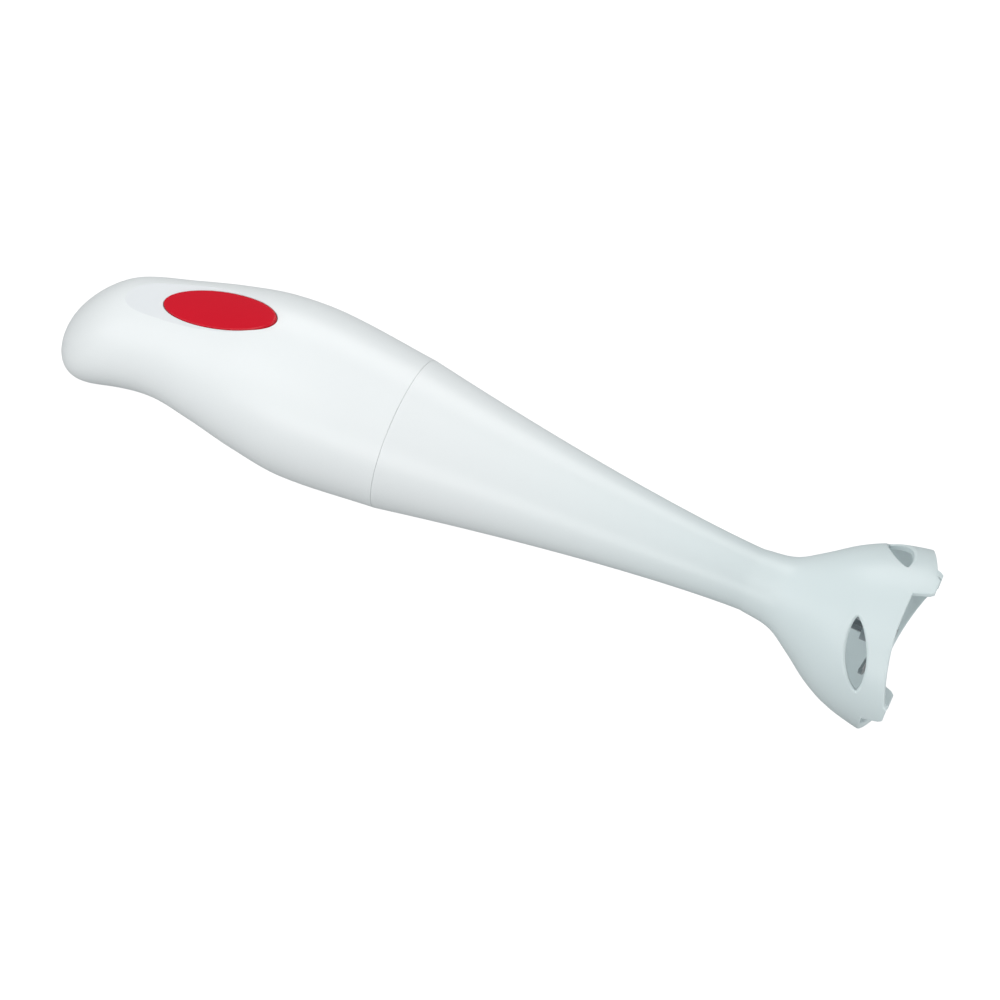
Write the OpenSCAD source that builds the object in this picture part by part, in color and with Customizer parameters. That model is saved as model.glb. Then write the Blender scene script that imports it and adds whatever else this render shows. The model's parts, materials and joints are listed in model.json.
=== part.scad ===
// Corded immersion blender, lying on its belly with the power button on top.
// X runs along the drive axis from the hooked tail (-X) to the blade bell (+X).
// The origin is the middle of the bounding box, on the surface that the blender lies on.

/* [Outside] */
// Length of the handle, tail to seam
handle_len = 146.5; // [130:0.5:176]
// Length of the stick and bell, seam to foot lugs
shaft_len = 207; // [175:1:250]
// Outside diameter at the seam between handle and stick
seam_d = 60.8; // [52:0.2:74]
// How far the grip swells out beyond the seam, on the radius
grip_swell = 3.4; // [2:0.1:5]
// Diameter of the hooked tail
tail_d = 43.8; // [37:0.2:54]
// How far the end of the tail drops below the drive axis
tail_drop = 24.2; // [20:0.2:26]
// Length of the rounded end of the tail
cap_len = 26.4; // [20:0.2:30]
// Wall of the moulded housings
wall = 2.4; // [2:0.1:3]

/* [Bell] */
// Diameter at the neck
neck_d = 24.4; // [22:0.2:29]
// Length of the bell, neck to foot lugs
bell_len = 64; // [54:1:76]
// Outside diameter of the bell's rim
bell_d = 72; // [60:0.5:86]
// Depth of the swirled notches in the rim
notch_depth = 7.4; // [5:0.1:9]
// Height of the foot lugs
lug_h = 1.2; // [0.8:0.1:2]
// Length of a vent
vent_l = 27; // [22:0.5:32]
// Width of a vent
vent_w = 8; // [6:0.2:9.6]
// Tilt of a vent from the circumference
vent_tilt = 20; // [10:1:25]
// Distance from a vent's middle to the foot lugs
vent_setback = 17.4; // [16:0.1:21]

/* [Power button] */
// Length of the button
button_l = 49; // [41:0.5:58]
// Width of the button
button_w = 18.8; // [16:0.2:22]
// Slope of the button and its flat, down toward the tail
button_slope = 17.8; // [15:0.1:20]
// Distance from the seam back to the button's middle
button_back = 79.8; // [76:0.1:84]
// Height of the flat's middle above the drive axis
button_rise = 27.7; // [26:0.1:29]
// Gap all round the button
button_gap = 0.35; // [0.25:0.05:0.6]
// How far the button stands out of its flat
button_proud = 0.8; // [0.4:0.1:1.5]
// Travel of the button
button_travel = 2; // [1:0.1:2.4]

/* [Drive] */
// Outside diameter of the motor
motor_d = 55; // [50:0.5:56]
// Diameter of the motor shaft
motor_shaft_d = 6; // [5:0.1:7]
// Diameter of the drive shaft in the stick
drive_shaft_d = 5; // [4:0.1:6]
// Radial clearance of a turning shaft
run_gap = 0.04; // [0.02:0.01:0.08]
// Length of the lamination stack
stack_len = 22; // [18:0.5:26]
// Thickness of the stator's yoke
yoke_t = 5; // [4:0.1:6]
// Air gap between armature and poles
air_gap = 0.6; // [0.4:0.05:0.8]
// Outside diameter of the bearing tube
tube_d = 14; // [12:0.2:16]
// Wall of the bearing tube
tube_wall = 1.2; // [1:0.1:1.6]
// Diameter swept by the blade
blade_d = 48; // [40:0.5:54]
// Distance from the blade's plane to the foot lugs
blade_setback = 12; // [10.5:0.1:13]
// Thickness of the blade
blade_t = 1.4; // [1:0.1:1.8]

/* [Cord inlet] */
// Bore for the mains cord
cord_bore_d = 7.2; // [6:0.1:8]
// Height of the inlet below the drive axis
inlet_drop = 21; // [19:0.5:22]

/* [Hidden] */
$fn = 64;
eps = 0.01;
fit = 0.1;            // clearance between pieces that stay still
loft_sides = 32;      // sides of the lofted handle
body_rings = 15;
cap_rings = 7;

seam_r = seam_d / 2;
grip_r = seam_r + grip_swell;
tail_r = tail_d / 2;
neck_r = neck_d / 2;
bell_r = bell_d / 2;
axis_z = bell_r;
seam_x = (handle_len - shaft_len) / 2;
neck_x = shaft_len - bell_len;

// Handle outline: [share of the length from the seam, swell from tail to grip, share of the drop]
handle_curve = [[0.264, 1, -0.029], [0.4145, 0.848, -0.087], [0.546, 0.525, -0.073],
                [0.6785, 0.196, 0.029], [0.819, 0.086, 0.334], [0.958, 0, 0.8645], [1, 0, 1]];
cap_power = 2.33;     // of the tail's end: 2 would be an ellipse, more is blunter
last_turn = 88;       // where the rings of the tail's end stop, out of 90
// Bell outline: [share of the length from the neck, share of the flare]
bell_curve = [[0, 0], [0.19, 0.085], [0.34, 0.33], [0.5, 0.63], [0.66, 0.84], [0.88, 0.985], [1, 1]];
taper = 1.42;         // power of the stick's taper

// Seam joint: a spigot on the stick snaps into the handle
spigot_r = seam_r - wall - fit;
spigot_wall = 2;
spigot_len = 10;
collar_len = 12;
snap_h = 0.5;
snap_at = 7;
seal_r = 0.8;
seal_at = 3.2;

// Motor, measured from the seam toward the tail, and outward in from the housing
motor_r = motor_d / 2;
core_front = 20;
core_back = core_front + stack_len;
core_flat = 5.5;
core_half_w = motor_r - core_flat;
core_half_h = motor_r - 1.5;
window_h = core_half_h - yoke_t;
window_w = core_half_w - yoke_t;
coil_h = 4;
coil_gap = 0.2;
coil_t = 5;
shoe_t = 2.2;
neck_w = 8;
stator_bore = window_h - coil_h - 2 * coil_gap - shoe_t;
armature_r = stator_bore - air_gap;
commutator_r = armature_r - 4.8;
commutator_len = 12;
commutator_front = core_back + 8;
slots = 12;
slot_w = 1.8;
slot_h = 5;
head_len = 5.5;
motor_shaft_r = motor_shaft_d / 2;
motor_shaft_front = 24;
bearing_len = 8;
bearing_t = 3.4;
bearing_wall = 2.4;   // of the bracket's boss round a bearing
shaft_past = 1;       // motor shaft past its rear bearing
plate_t = 4;
front_plate = core_front - 10;
rear_plate = commutator_front + commutator_len + 2;
boss_past = 3;        // bearing boss past the rear plate
rear_end = rear_plate + plate_t + boss_past;
screw_r = 1.5;
screw_head_r = 2.7;
screw_head_h = 2;
screw_y = core_half_w - yoke_t / 2;
arm_h = 12;
mount_w = 5;
mount_r = motor_r + 1.5;
commutator_slot = 0.5;
commutator_slot_h = 1;

// Brushes
brush_w = 6;
brush_l = 9;
brush_gap = 0.1;
brush_x = commutator_front + commutator_len / 2;
brush_wall = 0.8;
brush_spring_l = 4;
brush_spring_r = 2;
brush_wire_r = 0.25;
holder_gap = 1.5;     // between holder and commutator
holder_end = 0.8;     // holder past the spring
holder_foot = 7;
upright_side = 2;
brush_top = commutator_r + brush_gap + brush_l + brush_spring_l;

// Fan and coupling, measured from the seam toward the bell
fan_r = spigot_r - spigot_wall - 1.5;
fan_back = -3;
fan_len = 9;
fan_blades = 8;
fan_plate = 2;
fan_vane = 1.5;
fan_hub = 4;
coupling_start = 12;
coupling_len = 22;
coupling_r = 8;
flutes = 6;
flute_r = 1.2;
drive_shaft_r = drive_shaft_d / 2;
drive_start = motor_shaft_front + 1;
tube_r = tube_d / 2;
tube_start = 44;
boss_r = tube_r + 2.5;
boss_start = neck_x;
tube_end = neck_x + 14;
boss_end = tube_end + 8;
bush_len = 10;
spider_len = 6;
spider_t = 1.6;
spider_arms = 6;
spider_at = tube_start + 4;
seal_len = 4;
seal_outer = tube_r - 1;
dome_start = neck_x + 19;
lug_angle = 10;       // of a foot lug round the rim, then its side, the step and the notch's floor
lug_side = 2;
step_angle = 4;
floor_angle = 20;
ramp_from = lug_angle / 2 + lug_side + step_angle + floor_angle;
ramp_to = 90 - lug_angle / 2 - lug_side;
ramp_power = 1.6;
ramp_steps = 8;
rim_turn = 50;        // elevation of a quarter's middle above the -Y side
vent_turn = 35;       // elevation of a vent's middle above the -Y side
blade_x = shaft_len - blade_setback;
hub_r = 5;
blade_turn = 75;      // rest position of the blade about the drive axis
hub_len = 7;
nut_len = 4.5;
nut_r = 4.4;
blade_half_w = 5;
blade_bend = hub_r + 3;
blade_up = 8;         // angles of the two wings
blade_down = 10;
wing_tip = [[0, 0], [3.6, 1.2], [6.4, 4.2], [5.6, 7.4], [2, 10]];

// Button parts, in the button's own frame: u along it, v across, w out of its flat
ceiling = -wall;
flange_t = 1.6;
flange_side = 1.6;
cap_wall = 1.8;
over_travel = 1.9;    // left between flange and cradle at full travel
flange_low = ceiling - fit - flange_t;
cradle_top = flange_low - button_travel - over_travel;
cradle_t = 1.6;
cradle_side = 1.2;
guide_h = 2;
stem_r = 2.4;
stem_fit = 0.25;
screw_fit = 0.3;
stem_end = cradle_top - 3;
ear_u = button_l / 2 + 7.5;
ear_r = 3.2;
post_r = 2.8;
pilot_r = 1;
pilot_len = 3.8;
pocket_side = 0.4;
switch_l = 20;
switch_w = 10;
switch_top = stem_end - button_travel - 1.2;
switch_h = 10;
plunger_r = 1.5;
plunger_fit = 0.15;
plunger_in = 2;       // plunger inside the switch at rest
terminal_w = 4;
terminal_h = 6;
terminal_t = 0.8;
terminal_u = 6;       // from the switch's middle to each terminal
terminal_tip = switch_top - switch_h - terminal_h;
rear_clear = 3.3;     // between the motor shaft's end and the nearer terminal
motor_back = rear_end + shaft_past + rear_clear;
stem_u = (button_back + terminal_tip * sin(button_slope) - motor_back) / cos(button_slope)
         - terminal_u - terminal_w / 2;
spring_wire = 0.7;
spring_room = 0.5;    // between stem and spring
small_head_r = 2.2;
small_head_h = 1.5;
screw_short = 0.3;    // pilot hole left past a screw's end

// Cord inlet and clamp, measured from the seam toward the tail
inlet_r = cord_bore_d / 2;
gland_r = inlet_r + 2.6;
gland_flange = 1.8;
gland_len = 12;
gland_inset = 1.5;    // outer end of the gland inside the tail's end
gland_end = handle_len - gland_inset;
inlet_boss_r = gland_r + 2.4;
clamp_at = handle_len - 20;
clamp_len = 8;
clamp_y = 7.5;
clamp_half = 11;
clamp_t = 2;
cord_grip = 0.2;
clamp_pilot = 4.4;
clamp_z = axis_z - inlet_drop + inlet_r - cord_grip;
clamp_hole_r = 1.4;
lead_r = 0.9;
lead_start = clamp_at + clamp_len / 2 - 2;
lead_side = 1.4;      // half the distance between the leads in the cord
terminal_mid = terminal_tip + terminal_h / 2;
capacitor = [18, 10, 12];
capacitor_back = 98;
capacitor_drop = 20.5;

// ---------- curves ----------

// Cubic through the points [t, value], with slopes taken from the neighbours
function slope_at(p, i, k) =
    let (a = max(i - 1, 0), b = min(i + 1, len(p) - 1)) (p[b][k] - p[a][k]) / (p[b][0] - p[a][0]);
function span_of(p, t, i = 0) = (i >= len(p) - 2 || t <= p[i + 1][0]) ? i : span_of(p, t, i + 1);
function spline(p, t, k = 1) =
    let (i = span_of(p, t), h = p[i + 1][0] - p[i][0], s = (t - p[i][0]) / h)
    p[i][k] * (2 * s * s * s - 3 * s * s + 1) + slope_at(p, i, k) * h * (s * s * s - 2 * s * s + s)
    + p[i + 1][k] * (3 * s * s - 2 * s * s * s) + slope_at(p, i + 1, k) * h * (s * s * s - s * s);

// Handle radius and centre height at a distance d behind the seam
handle_points = concat([[0, seam_r, 0]],
    [for (c = handle_curve) [c[0] * handle_len, tail_r + c[1] * (grip_r - tail_r), -c[2] * tail_drop]]);
function handle_r(d) = spline(handle_points, d, 1);
function handle_z(d) = spline(handle_points, d, 2);

// Outside radius of the stick and bell at a distance d in front of the seam
bell_points = [for (c = bell_curve) [neck_x + c[0] * bell_len, neck_r + c[1] * (bell_r - neck_r)]];
function shaft_r(d) = d < neck_x ? neck_r + (seam_r - neck_r) * pow(1 - d / neck_x, taper)
                                 : spline(bell_points, d);

// ---------- helpers ----------

// Local Z along the drive axis, starting d in front of the seam
module on_axis(d = 0) { translate([seam_x + d, 0, axis_z]) rotate([0, 90, 0]) children(); }
module rod(from, to, r) { on_axis(from) cylinder(h = to - from, r = r); }
module ring(from, to, outer, inner) {
    on_axis(from) difference() {
        cylinder(h = to - from, r = outer);
        translate([0, 0, -eps]) cylinder(h = to - from + 2 * eps, r = inner);
    }
}
// Places children facing outward at an elevation e above the -Y side
module around(e) { translate([0, 0, axis_z]) rotate([-e, 0, 0]) children(); }
// The button's own frame
module at_button() {
    translate([seam_x - button_back, 0, axis_z + button_rise]) rotate([0, -button_slope, 0]) children();
}
module ellipse(l, w) { scale([1, w / l]) circle(d = l, $fn = 96); }
module disc(from, to, r) { translate([0, 0, from]) cylinder(h = to - from, r = r); }

// Closed solid through rings of points, all with the same count
module loft(rings) {
    n = len(rings[0]);
    m = len(rings);
    polyhedron(
        points = [for (q = rings) for (p = q) p],
        faces = concat(
            [[for (i = [0:n - 1]) i]],
            [for (j = [0:m - 2]) for (i = [0:n - 1]) let (k = (i + 1) % n)
                [j * n + i, (j + 1) * n + i, j * n + k]],
            [for (j = [0:m - 2]) for (i = [0:n - 1]) let (k = (i + 1) % n)
                [j * n + k, (j + 1) * n + i, (j + 1) * n + k]],
            [[for (i = [n - 1:-1:0]) (m - 1) * n + i]]));
}

// Round wire or lead through points, by rings square to the path
function unit(v) = v / norm(v);
function path_ring(p, i, r, sides) =
    let (t = unit(p[min(i + 1, len(p) - 1)] - p[max(i - 1, 0)]),
         a = unit(cross(t, abs(t[2]) < 0.8 ? [0, 0, 1] : [1, 0, 0])), b = cross(t, a))
    [for (k = [0:sides - 1]) p[i] + r * (cos(360 * k / sides) * a + sin(360 * k / sides) * b)];
module wire(p, r, sides = 8) { loft([for (i = [0:len(p) - 1]) path_ring(p, i, r, sides)]); }
// Coil spring along Z from 0 to h, with closed ends
function coil_turn(s, turns) =
    let (flat = 0.8 / turns) s < flat ? 0 : s > 1 - flat ? 1 : (s - flat) / (1 - 2 * flat);
module coil_spring(h, r, wire_r, turns, steps = 12) {
    n = turns * steps;
    wire([for (i = [0:n]) let (s = i / n, a = 360 * turns * s)
        [r * cos(a), r * sin(a), wire_r + (h - 2 * wire_r) * (coil_turn(s, turns) * 0.8 + s * 0.2)]],
        wire_r, 6);
}
// Pan-head screw down local -Z, its head's underside at 0
module pan_screw(shank_r, length, head_r, head_h) {
    disc(-length, eps, shank_r);
    difference() {
        disc(0, head_h, head_r);
        translate([-head_r, -0.3, head_h * 0.5]) cube([2 * head_r, 0.6, head_h]);
        translate([-0.3, -head_r, head_h * 0.5]) cube([0.6, 2 * head_r, head_h]);
    }
}

// ---------- housings ----------

// Stations along the handle: evenly spaced, then bunched round the tail's end
function stations(inset) =
    concat([for (i = [0:body_rings - 1]) (handle_len - cap_len) * i / body_rings],
           [for (i = [0:cap_rings])
               handle_len - cap_len + (cap_len - inset) * sin(last_turn * i / cap_rings) / sin(last_turn)]);
function cap_share(d, inset) =
    let (s = min(sin(last_turn), max(0, d - handle_len + cap_len) / (cap_len - inset)))
    pow(1 - pow(s, cap_power), 1 / cap_power);
module handle_loft(inset) {
    loft([for (d = stations(inset))
        let (r = (handle_r(d) - inset) * cap_share(d, inset))
        [for (i = [0:loft_sides - 1]) let (a = 360 * (i + 0.5) / loft_sides)
            [seam_x - d, -r * cos(a), axis_z + handle_z(d) + r * sin(a)]]]);
}
// Everything above a plane parallel to the button's flat
module above_flat(w) { at_button() translate([-60, -40, w]) cube([100, 80, 40]); }

module handle_cavity() {
    difference() {
        handle_loft(wall);
        above_flat(ceiling);
        // collar that takes the spigot
        ring(-collar_len, eps, grip_r, spigot_r + fit);
        // seats for the rubber motor mounts
        for (d = [core_front, core_back - mount_w])
            ring(-d - mount_w - 1, -d + 1, grip_r, mount_r);
        // posts for the button cradle
        for (u = [-ear_u, ear_u]) at_button() translate([u, 0, cradle_top]) cylinder(h = 20, r = post_r);
        // boss round the cord inlet
        translate([0, 0, -inlet_drop]) rod(-handle_len, -gland_end + gland_len - gland_flange, inlet_boss_r);
        // pedestal under the cord clamp
        translate([seam_x - clamp_at - clamp_len / 2, -clamp_half, 0])
            cube([clamp_len, 2 * clamp_half, axis_z - inlet_drop - inlet_r + cord_grip]);
        // rib under the capacitor
        translate([seam_x - capacitor_back + wall, -capacitor[1] / 2, 0])
            cube([capacitor[0] - 2 * wall, capacitor[1], axis_z - capacitor_drop]);
    }
}

module handle_housing() {
    color([0.95, 0.96, 0.96]) difference() {
        handle_loft(0);
        handle_cavity();
        above_flat(0);
        translate([seam_x - handle_len - 1, -grip_r, -grip_r]) cube([handle_len, 2 * grip_r, grip_r]);
        at_button() {
            translate([0, 0, cradle_top]) linear_extrude(12 - cradle_top)
                ellipse(button_l + 2 * button_gap, button_w + 2 * button_gap);
            // pocket for the button's flange
            pocket = 2 * (flange_side + pocket_side);
            translate([0, 0, cradle_top]) linear_extrude(ceiling - cradle_top)
                ellipse(button_l + pocket, button_w + pocket);
            for (u = [-ear_u, ear_u]) translate([u, 0, cradle_top - eps])
                cylinder(h = pilot_len, r = pilot_r);
        }
        // spigot bore, snap groove and seal groove
        rod(-collar_len - 1, 1, spigot_r + fit);
        ring(-snap_at - 1.2, -snap_at + 1.2, spigot_r + snap_h + 2 * fit, spigot_r - 1);
        translate([0, 0, -inlet_drop]) rod(-handle_len - 2, -handle_len + gland_len + 6, gland_r);
        for (y = [-clamp_y, clamp_y])
            translate([seam_x - clamp_at, y, axis_z - inlet_drop - inlet_r + cord_grip - clamp_pilot])
                cylinder(h = clamp_pilot + 1, r = pilot_r);
    }
}

// Rim of one quarter, developed from the middle of one foot lug to the next: [angle, height lost]
rim_points = concat(
    [[0, 0], [lug_angle / 2, 0], [lug_angle / 2 + lug_side, lug_h],
     [lug_angle / 2 + lug_side + step_angle, notch_depth]],
    [for (i = [0:ramp_steps]) [ramp_from + (ramp_to - ramp_from) * i / ramp_steps,
                               lug_h + (notch_depth - lug_h) * (1 - pow(i / ramp_steps, ramp_power))]],
    [[90 - lug_angle / 2, 0], [90, 0]]);

module rim_cutter() {
    for (q = [0:3]) around(rim_turn + 90 * q)
        translate([seam_x + shaft_len, 0, 0]) rotate([90, 0, 0])
            linear_extrude(bell_r + 4) polygon(concat(
                [for (p = rim_points) [-p[1], -bell_r * sin(p[0] - 45)]],
                [[5, -bell_r * sin(45)], [5, bell_r * sin(45)]]));
}

module vent_cutter() {
    arc_r = (vent_l * vent_l / 4 + vent_w * vent_w / 4) / vent_w;
    for (q = [0:3]) around(vent_turn + 90 * q)
        translate([seam_x + shaft_len - vent_setback, 0, 0]) rotate([90, 0, 0]) rotate([0, 0, vent_tilt])
            linear_extrude(bell_r + 4) intersection() {
                translate([arc_r - vent_w / 2, 0]) circle(r = arc_r, $fn = 90);
                translate([vent_w / 2 - arc_r, 0]) circle(r = arc_r, $fn = 90);
            }
}

module shaft_housing() {
    outer = concat([for (i = [0:16]) neck_x * i / 16], [for (i = [1:20]) neck_x + bell_len * i / 20]);
    bore = [for (i = [1:14]) 2 + (boss_start - 2) * i / 14];
    dome = [for (i = [0:12]) dome_start + 4 + (shaft_len + 1 - dome_start - 4) * i / 12];
    color([0.90, 0.94, 0.94]) difference() {
        union() {
            on_axis() rotate_extrude() polygon(concat(
                [[0, 0]], [for (d = outer) [shaft_r(d), d]], [[0, shaft_len]]));
            rod(-spigot_len, eps, spigot_r);
            on_axis(-snap_at) rotate_extrude() polygon([
                [spigot_r - 1, -1], [spigot_r, -1], [spigot_r + snap_h, 0], [spigot_r, 1],
                [spigot_r - 1, 1]]);
        }
        // motor end: spigot bore and the hollow stick
        on_axis() rotate_extrude() polygon(concat(
            [[0, -spigot_len - 1], [spigot_r - spigot_wall, -spigot_len - 1], [spigot_r - spigot_wall, 2]],
            [for (d = bore) [max(shaft_r(d) - wall, tube_r + 1), d]], [[0, boss_start]]));
        // inside of the bell, round the bearing boss
        difference() {
            on_axis() rotate_extrude() polygon(concat(
                [[0, dome_start], [boss_r, dome_start]],
                [for (d = dome) [shaft_r(min(d, shaft_len)) - wall, d]], [[0, shaft_len + 1]]));
            rod(dome_start - 1, boss_end, boss_r);
        }
        rod(boss_start - 1, tube_end, tube_r);
        rod(tube_end - 1, boss_end + 1, seal_outer);
        on_axis(-seal_at) rotate_extrude() translate([spigot_r, 0]) circle(r = seal_r, $fn = 24);
        rim_cutter();
        vent_cutter();
    }
}

module seam_seal() {
    color([0.2, 0.2, 0.2]) on_axis(-seal_at) rotate_extrude()
        intersection() {
            translate([spigot_r, 0]) circle(r = seal_r, $fn = 24);
            translate([spigot_r - 2, -2]) square([2 + fit, 4]);
        }
}

// ---------- button and switch ----------

module power_button() {
    color([0.82, 0.13, 0.19]) at_button() difference() {
        union() {
            translate([0, 0, flange_low]) linear_extrude(button_proud - flange_low)
                ellipse(button_l, button_w);
            translate([0, 0, flange_low]) linear_extrude(flange_t)
                ellipse(button_l + 2 * flange_side, button_w + 2 * flange_side);
            translate([stem_u, 0, 0]) disc(stem_end, 0, stem_r);
        }
        difference() {
            translate([0, 0, flange_low - 1]) linear_extrude(button_proud - flange_low + 1 - cap_wall)
                ellipse(button_l - 2 * cap_wall, button_w - 2 * cap_wall);
            translate([stem_u, 0, 0]) disc(stem_end - 1, 0, stem_r);
        }
    }
}

module button_spring() {
    color([0.75, 0.76, 0.78]) at_button() translate([stem_u, 0, cradle_top])
        coil_spring(button_proud - cap_wall - cradle_top - fit, stem_r + spring_wire + spring_room,
                    spring_wire / 2, 5);
}

module button_cradle() {
    cheek_t = 1.5;
    guide_t = 1.6;
    color([0.85, 0.86, 0.86]) at_button() difference() {
        union() {
            translate([0, 0, cradle_top - cradle_t]) linear_extrude(cradle_t) {
                ellipse(button_l + 2 * cradle_side, button_w + 2 * cradle_side);
                square([2 * ear_u, 2 * ear_r], center = true);
                for (u = [-ear_u, ear_u]) translate([u, 0]) circle(r = ear_r);
            }
            translate([stem_u, 0, 0]) disc(cradle_top - cradle_t - guide_h, cradle_top, stem_r + guide_t);
            // two cheeks that grip the switch
            for (v = [-1, 1])
                translate([stem_u - switch_l / 2, v * (switch_w / 2 + fit + cheek_t / 2) - cheek_t / 2,
                           switch_top - switch_h])
                    cube([switch_l, cheek_t, cradle_top - switch_top + switch_h - cradle_t + eps]);
        }
        translate([stem_u, 0, 0]) disc(switch_top, cradle_top + 1, stem_r + stem_fit);
        for (u = [-ear_u, ear_u]) translate([u, 0, 0])
            disc(cradle_top - 2 * cradle_t, cradle_top + 1, pilot_r + screw_fit);
    }
}

module cradle_screws() {
    color([0.6, 0.6, 0.62]) for (u = [-ear_u, ear_u])
        at_button() translate([u, 0, cradle_top - cradle_t])
            mirror([0, 0, 1])
                pan_screw(pilot_r, cradle_t + pilot_len - screw_short, small_head_r, small_head_h);
}

module switch_body() {
    color([0.15, 0.15, 0.16]) at_button() difference() {
        translate([stem_u - switch_l / 2, -switch_w / 2, switch_top - switch_h])
            cube([switch_l, switch_w, switch_h]);
        translate([stem_u, 0, 0])
            disc(switch_top - plunger_in - button_travel - 1, switch_top + 1, plunger_r + plunger_fit);
    }
}

module switch_plunger() {
    color([0.7, 0.15, 0.1]) at_button()
        translate([stem_u, 0, 0]) disc(switch_top - plunger_in, stem_end - fit, plunger_r);
}

module switch_terminals() {
    color([0.8, 0.68, 0.35]) for (u = [-terminal_u, terminal_u]) at_button()
        translate([stem_u + u - terminal_w / 2, -terminal_t / 2, terminal_tip])
            cube([terminal_w, terminal_t, terminal_h]);
}

// ---------- cord inlet ----------

module cord_gland() {
    color([0.25, 0.25, 0.26]) translate([0, 0, -inlet_drop]) difference() {
        union() {
            rod(-gland_end, -gland_end + gland_len, gland_r - fit / 2);
            rod(-gland_end + gland_len - gland_flange + fit, -gland_end + gland_len + fit, inlet_boss_r);
        }
        rod(-handle_len - 1, -handle_len + gland_len + 4, inlet_r);
    }
}

module cord_clamp() {
    color([0.85, 0.86, 0.86]) difference() {
        translate([seam_x - clamp_at - clamp_len / 2, -clamp_half, clamp_z])
            cube([clamp_len, 2 * clamp_half, clamp_t]);
        for (y = [-clamp_y, clamp_y]) translate([seam_x - clamp_at, y, clamp_z - 1])
            cylinder(h = clamp_t + 2, r = clamp_hole_r);
    }
}

module cord_clamp_screws() {
    color([0.6, 0.6, 0.62]) for (y = [-clamp_y, clamp_y])
        translate([seam_x - clamp_at, y, clamp_z + clamp_t])
            pan_screw(pilot_r, clamp_t + 2 * (inlet_r - cord_grip) + clamp_pilot - screw_short,
                      small_head_r, small_head_h);
}

module suppression_capacitor() {
    color([0.85, 0.7, 0.2]) translate([seam_x - capacitor_back, -capacitor[1] / 2, axis_z - capacitor_drop])
        cube(capacitor);
}

// Insulated leads, through points behind the seam and about the drive axis
function from_button(u, v, w) = [button_back - u * cos(button_slope) + w * sin(button_slope), v,
                                 button_rise + u * sin(button_slope) + w * cos(button_slope)];
module lead(points) {
    wire([for (p = points) [seam_x - p[0], p[1], axis_z + p[2]]], lead_r);
}
module lead_live() {
    at = stem_u - terminal_u;
    color([0.5, 0.3, 0.2]) lead(concat(
        [[lead_start, lead_side, -inlet_drop], [lead_start - 7, lead_side, -inlet_drop],
         [lead_start - 12, 4, -17], [lead_start - 16, 8, -12], [lead_start - 20, 9, -8]],
        [from_button(at - 6.5, 8, terminal_mid), from_button(at - 3, 4.5, terminal_mid),
         from_button(at, lead_side + 0.1, terminal_mid)]));
}
module lead_neutral() {
    color([0.2, 0.35, 0.6]) lead(
        [[lead_start, -lead_side, -inlet_drop], [lead_start - 7, -lead_side, -inlet_drop],
         [lead_start - 13, -4, -19], [98, -8.5, -19], [86, -9, -20], [76, -8, -22],
         [68, -6, -24], [62, -5.5, -24], [58, -5, -22]]);
}
module lead_switched() {
    at = stem_u + terminal_u;
    color([0.15, 0.15, 0.15]) lead(concat(
        [from_button(at, lead_side + 0.1, terminal_mid), from_button(at + 2.5, 5, terminal_mid),
         from_button(at + 5.5, 9, terminal_mid + 1.5)],
        [[71.5, 12, 7], [70, 13, 12], [66, 12, 16], [61, 8, 19], [58, 5, 20]]));
}

// ---------- motor ----------

module motor_mount(d) { ring(-d - mount_w, -d, mount_r - fit, motor_r); }
module motor_mount_rear() { color([0.2, 0.2, 0.2]) motor_mount(core_back - mount_w); }
module motor_mount_front() { color([0.2, 0.2, 0.2]) motor_mount(core_front); }

// Local X is down and local Y is across, looking along the drive axis
module core_outline() {
    intersection() {
        circle(r = motor_r);
        square([2 * core_half_h, 2 * core_half_w], center = true);
    }
}
module stator_core() {
    color([0.45, 0.46, 0.5]) on_axis(-core_back) linear_extrude(stack_len) difference() {
        union() {
            difference() {
                core_outline();
                square([2 * window_h, 2 * window_w], center = true);
            }
            intersection() {
                union() {
                    square([2 * window_h + 1, 2 * neck_w], center = true);
                    difference() {
                        circle(r = stator_bore + shoe_t);
                        square([2 * stator_bore, 3 * stator_bore], center = true);
                    }
                    difference() {
                        circle(r = stator_bore + shoe_t);
                        for (s = [-1, 1]) translate([0, s * stator_bore])
                            square([stator_bore, 2 * stator_bore], center = true);
                    }
                }
                square([2 * window_h + 1, 2 * window_w - 1], center = true);
            }
        }
        circle(r = stator_bore);
        for (s = [-1, 1]) translate([0, s * screw_y]) circle(r = screw_r + fit);
    }
}

module field_coils() {
    color([0.72, 0.4, 0.2]) for (s = [-1, 1])
        translate([seam_x - core_back - coil_t, 0, axis_z + s * (window_h - coil_gap - coil_h / 2)])
            difference() {
                translate([0, -neck_w - coil_gap - coil_t, -coil_h / 2])
                    cube([stack_len + 2 * coil_t, 2 * (neck_w + coil_gap + coil_t), coil_h]);
                translate([coil_t - coil_gap, -neck_w - coil_gap, -coil_h])
                    cube([stack_len + 2 * coil_gap, 2 * (neck_w + coil_gap), 2 * coil_h]);
            }
}

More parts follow.
